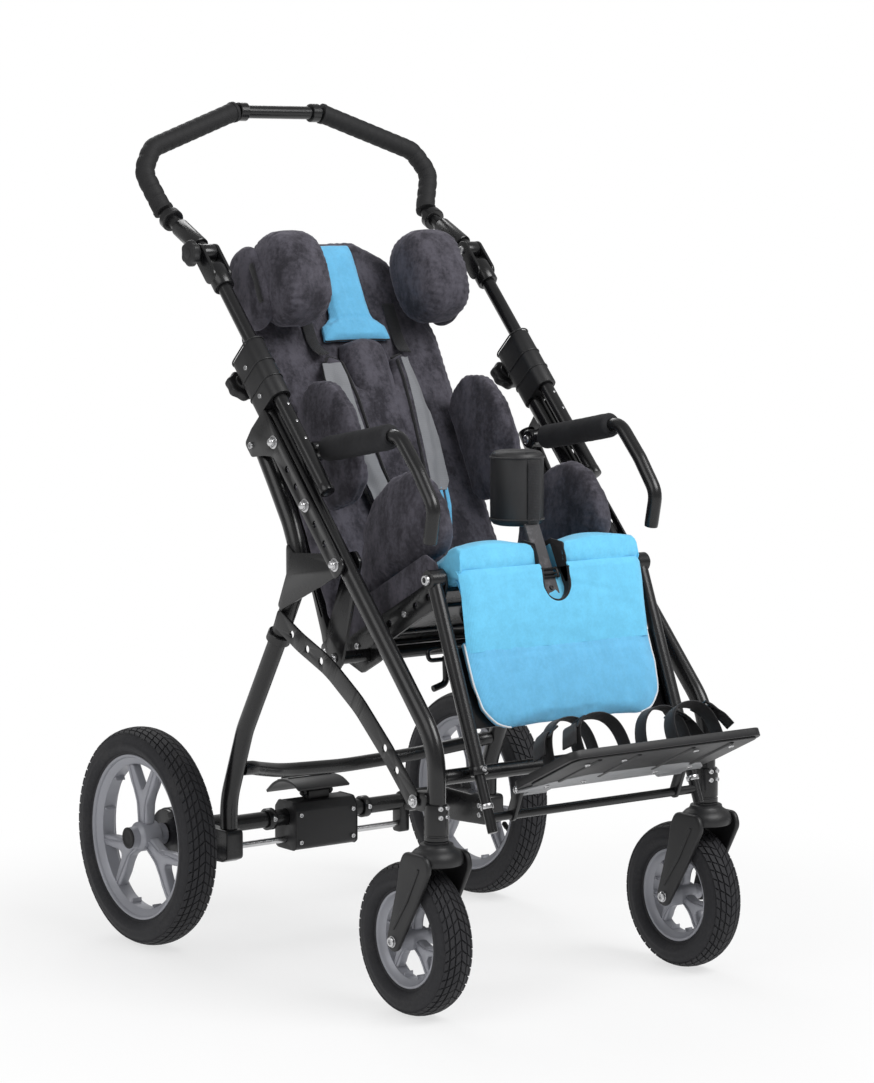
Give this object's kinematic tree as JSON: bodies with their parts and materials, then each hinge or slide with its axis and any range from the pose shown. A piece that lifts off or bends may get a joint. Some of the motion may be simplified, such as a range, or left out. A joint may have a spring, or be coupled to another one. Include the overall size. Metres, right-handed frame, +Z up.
{
  "type": "pediatric tilt wheelchair",
  "caption": "Child's pushchair wheelchair with a tilting padded seat, side supports, pommel, armrests, leg rest with foot plate, folding tube frame, casters and a bow push handle",
  "frame": {"origin": "on the floor, under the middle of the outline's width and length", "axes": "+Z up, +X to the sitting child's left, the child faces -Y"},
  "size_m": [0.643, 0.9484, 1.1895],
  "materials": {
    "frame_black": "satin black powder coat",
    "moulded_black": "moulded black nylon",
    "rubber_black": "black foam rubber",
    "tyre_black": "black polyurethane tyre",
    "rim_grey": "silver grey moulded rim",
    "steel": "zinc plated steel",
    "suede_grey": "dark grey suede cloth over foam",
    "cover_blue": "light blue mesh cloth over foam",
    "plate_grey": "mill aluminium sheet",
    "webbing_black": "black webbing"
  },
  "bodies": {
    "angle_knob": {"angle_knob": "moulded_black"},
    "armrest_left": {"arm_pad_left": "rubber_black", "armrest_left": "frame_black"},
    "armrest_right": {"arm_pad_right": "rubber_black", "armrest_right": "frame_black"},
    "rear_frame": {"axle_beam": "frame_black", "brake_block": "moulded_black", "rear_cross_tube": "frame_black", "rear_leg_left": "frame_black", "rear_leg_right": "frame_black"},
    "back": {"back_pad": "suede_grey", "back_shell": "frame_black", "harness_vest": "suede_grey"},
    "brake_pedal": {"brake_pedal": "moulded_black"},
    "brake_rod": {"brake_rod": "steel"},
    "leg_rest": {"calf_pad": "cover_blue", "leg_rest_frame": "frame_black"},
    "caster_fork_left": {"caster_fork_left": "moulded_black"},
    "caster_fork_right": {"caster_fork_right": "moulded_black"},
    "caster_wheel_left": {"caster_rim_left": "rim_grey", "caster_tyre_left": "tyre_black"},
    "caster_wheel_right": {"caster_rim_right": "rim_grey", "caster_tyre_right": "tyre_black"},
    "clamp_knob_left": {"clamp_knob_left": "moulded_black"},
    "clamp_knob_right": {"clamp_knob_right": "moulded_black"},
    "diagonal_left": {"diagonal_plate_left": "frame_black"},
    "diagonal_right": {"diagonal_plate_right": "frame_black"},
    "foot_plate": {"foot_plate": "plate_grey", "foot_straps_left": "webbing_black", "foot_straps_right": "webbing_black", "foot_tray": "moulded_black"},
    "foot_slider": {"foot_slider": "frame_black"},
    "frame": {"front_cross_tube": "frame_black", "handle_clamp_left": "moulded_black", "handle_clamp_right": "moulded_black", "seat_carrier": "frame_black", "side_plate_left": "frame_black", "side_plate_right": "frame_black", "side_tube_left": "frame_black", "side_tube_right": "frame_black"},
    "push_bow": {"grip_left": "rubber_black", "grip_right": "rubber_black", "push_bow": "frame_black"},
    "handle": {"handle_tube_left": "frame_black", "handle_tube_right": "frame_black"},
    "head": {"head_cushion": "cover_blue"},
    "head_wing_left": {"head_wing_left": "suede_grey"},
    "head_wing_right": {"head_wing_right": "suede_grey"},
    "hip_pad_left": {"hip_pad_left": "suede_grey"},
    "hip_pad_right": {"hip_pad_right": "suede_grey"},
    "pommel": {"pommel": "rubber_black"},
    "rear_wheel_left": {"rear_rim_left": "rim_grey", "rear_tyre_left": "tyre_black"},
    "rear_wheel_right": {"rear_rim_right": "rim_grey", "rear_tyre_right": "tyre_black"},
    "release_lever": {"release_lever": "frame_black"},
    "seat": {"seat_cushion": "cover_blue", "seat_frame": "frame_black"},
    "trunk_pad_left": {"trunk_pad_left": "suede_grey"},
    "trunk_pad_right": {"trunk_pad_right": "suede_grey"}
  },
  "joints": [
    {"name": "frame_fold", "type": "hinge", "parent": "frame", "child": "rear_frame", "pos_m": [0, -0.08206, 0.57317], "axis": [-1, 0, 0], "range_deg": [0, 35]},
    {"name": "rear_wheel_right_spin", "type": "hinge", "parent": "rear_frame", "child": "rear_wheel_right", "pos_m": [-0.292, 0.31922, 0.155], "axis": [1, 0, 0], "continuous": true},
    {"name": "rear_wheel_left_spin", "type": "hinge", "parent": "rear_frame", "child": "rear_wheel_left", "pos_m": [0.292, 0.31922, 0.155], "axis": [1, 0, 0], "continuous": true},
    {"name": "brake_pedal_press", "type": "hinge", "parent": "rear_frame", "child": "brake_pedal", "pos_m": [0, 0.31922, 0.187], "axis": [-1, 0, 0], "range_deg": [0, 25]},
    {"name": "brake_rod_turn", "type": "hinge", "parent": "rear_frame", "child": "brake_rod", "pos_m": [0, 0.31922, 0.122], "axis": [-1, 0, 0], "range_deg": [0, 25]},
    {"name": "caster_right_swivel", "type": "hinge", "parent": "frame", "child": "caster_fork_right", "pos_m": [-0.2285, -0.28228, 0.2315], "axis": [0, 0, 1], "continuous": true},
    {"name": "caster_left_swivel", "type": "hinge", "parent": "frame", "child": "caster_fork_left", "pos_m": [0.2285, -0.28228, 0.2315], "axis": [0, 0, 1], "continuous": true},
    {"name": "caster_wheel_right_spin", "type": "hinge", "parent": "caster_fork_right", "child": "caster_wheel_right", "pos_m": [-0.2285, -0.23568, 0.1008], "axis": [1, 0, 0], "continuous": true},
    {"name": "caster_wheel_left_spin", "type": "hinge", "parent": "caster_fork_left", "child": "caster_wheel_left", "pos_m": [0.2285, -0.23568, 0.1008], "axis": [1, 0, 0], "continuous": true},
    {"name": "handle_height", "type": "slide", "parent": "frame", "child": "handle", "axis": [0, 0.682, 0.7314], "range_m": [-0.08, 0.12]},
    {"name": "handle_angle", "type": "hinge", "parent": "handle", "child": "push_bow", "pos_m": [0, 0.24844, 0.97598], "axis": [1, 0, 0], "range_deg": [-45, 60]},
    {"name": "angle_knob_turn", "type": "hinge", "parent": "handle", "child": "angle_knob", "pos_m": [-0.2438, 0.24844, 0.97598], "axis": [1, 0, 0], "range_deg": [0, 180]},
    {"name": "clamp_knob_right_turn", "type": "hinge", "parent": "frame", "child": "clamp_knob_right", "pos_m": [-0.2285, 0.15433, 0.80395], "axis": [0, 0.7314, -0.682], "range_deg": [0, 180]},
    {"name": "clamp_knob_left_turn", "type": "hinge", "parent": "frame", "child": "clamp_knob_left", "pos_m": [0.2285, 0.15433, 0.80395], "axis": [0, 0.7314, -0.682], "range_deg": [0, 180]},
    {"name": "diagonal_right_swing", "type": "hinge", "parent": "frame", "child": "diagonal_right", "pos_m": [-0.2431, -0.25578, 0.285], "axis": [1, 0, 0], "range_deg": [0, 12.5]},
    {"name": "diagonal_left_swing", "type": "hinge", "parent": "frame", "child": "diagonal_left", "pos_m": [0.2431, -0.25578, 0.285], "axis": [1, 0, 0], "range_deg": [0, 12.5]},
    {"name": "seat_tilt", "type": "hinge", "parent": "frame", "child": "seat", "pos_m": [0, -0.03878, 0.442], "axis": [-1, 0, 0], "range_deg": [0, 15]},
    {"name": "back_recline", "type": "hinge", "parent": "seat", "child": "back", "pos_m": [0, 0.05769, 0.43384], "axis": [-1, 0, 0], "range_deg": [0, 25]},
    {"name": "head_height", "type": "slide", "parent": "back", "child": "head", "axis": [0, 0.454, 0.891], "range_m": [0, 0.05]},
    {"name": "head_wing_right_swing", "type": "hinge", "parent": "head", "child": "head_wing_right", "pos_m": [-0.168, 0.24913, 0.90868], "axis": [0, -0.454, -0.891], "range_deg": [0, 30]},
    {"name": "head_wing_left_swing", "type": "hinge", "parent": "head", "child": "head_wing_left", "pos_m": [0.168, 0.24913, 0.90868], "axis": [0, 0.454, 0.891], "range_deg": [0, 30]},
    {"name": "trunk_pad_right_slide", "type": "slide", "parent": "back", "child": "trunk_pad_right", "axis": [-1, 0, 0], "range_m": [-0.01, 0.015]},
    {"name": "trunk_pad_left_slide", "type": "slide", "parent": "back", "child": "trunk_pad_left", "axis": [1, 0, 0], "range_m": [-0.01, 0.015]},
    {"name": "hip_pad_right_slide", "type": "slide", "parent": "seat", "child": "hip_pad_right", "axis": [-1, 0, 0], "range_m": [0, 0.01]},
    {"name": "hip_pad_left_slide", "type": "slide", "parent": "seat", "child": "hip_pad_left", "axis": [1, 0, 0], "range_m": [0, 0.01]},
    {"name": "armrest_right_lift", "type": "hinge", "parent": "frame", "child": "armrest_right", "pos_m": [-0.187, 0.04724, 0.71184], "axis": [-1, 0, 0], "range_deg": [0, 75]},
    {"name": "armrest_left_lift", "type": "hinge", "parent": "frame", "child": "armrest_left", "pos_m": [0.187, 0.04724, 0.71184], "axis": [-1, 0, 0], "range_deg": [0, 75]},
    {"name": "pommel_lift", "type": "slide", "parent": "seat", "child": "pommel", "axis": [0, 0.454, 0.891], "range_m": [0, 0.03]},
    {"name": "release_lever_pull", "type": "hinge", "parent": "seat", "child": "release_lever", "pos_m": [0, -0.12613, 0.49159], "axis": [-1, 0, 0], "range_deg": [0, 30]},
    {"name": "leg_rest_lift", "type": "hinge", "parent": "seat", "child": "leg_rest", "pos_m": [0, -0.20278, 0.56], "axis": [-1, 0, 0], "range_deg": [0, 45]},
    {"name": "foot_plate_height", "type": "slide", "parent": "leg_rest", "child": "foot_slider", "axis": [0, -0.3746, -0.9272], "range_m": [-0.025, 0.04]},
    {"name": "foot_plate_flip", "type": "hinge", "parent": "foot_slider", "child": "foot_plate", "pos_m": [0, -0.3359, 0.29993], "axis": [-1, 0, 0], "range_deg": [-15, 30]}
  ],
  "couplings": [
    {"joint": "diagonal_right_swing", "follows": "frame_fold", "ratio": 0.355},
    {"joint": "diagonal_left_swing", "follows": "frame_fold", "ratio": 0.355},
    {"joint": "brake_rod_turn", "follows": "brake_pedal_press", "ratio": 1}
  ]
}
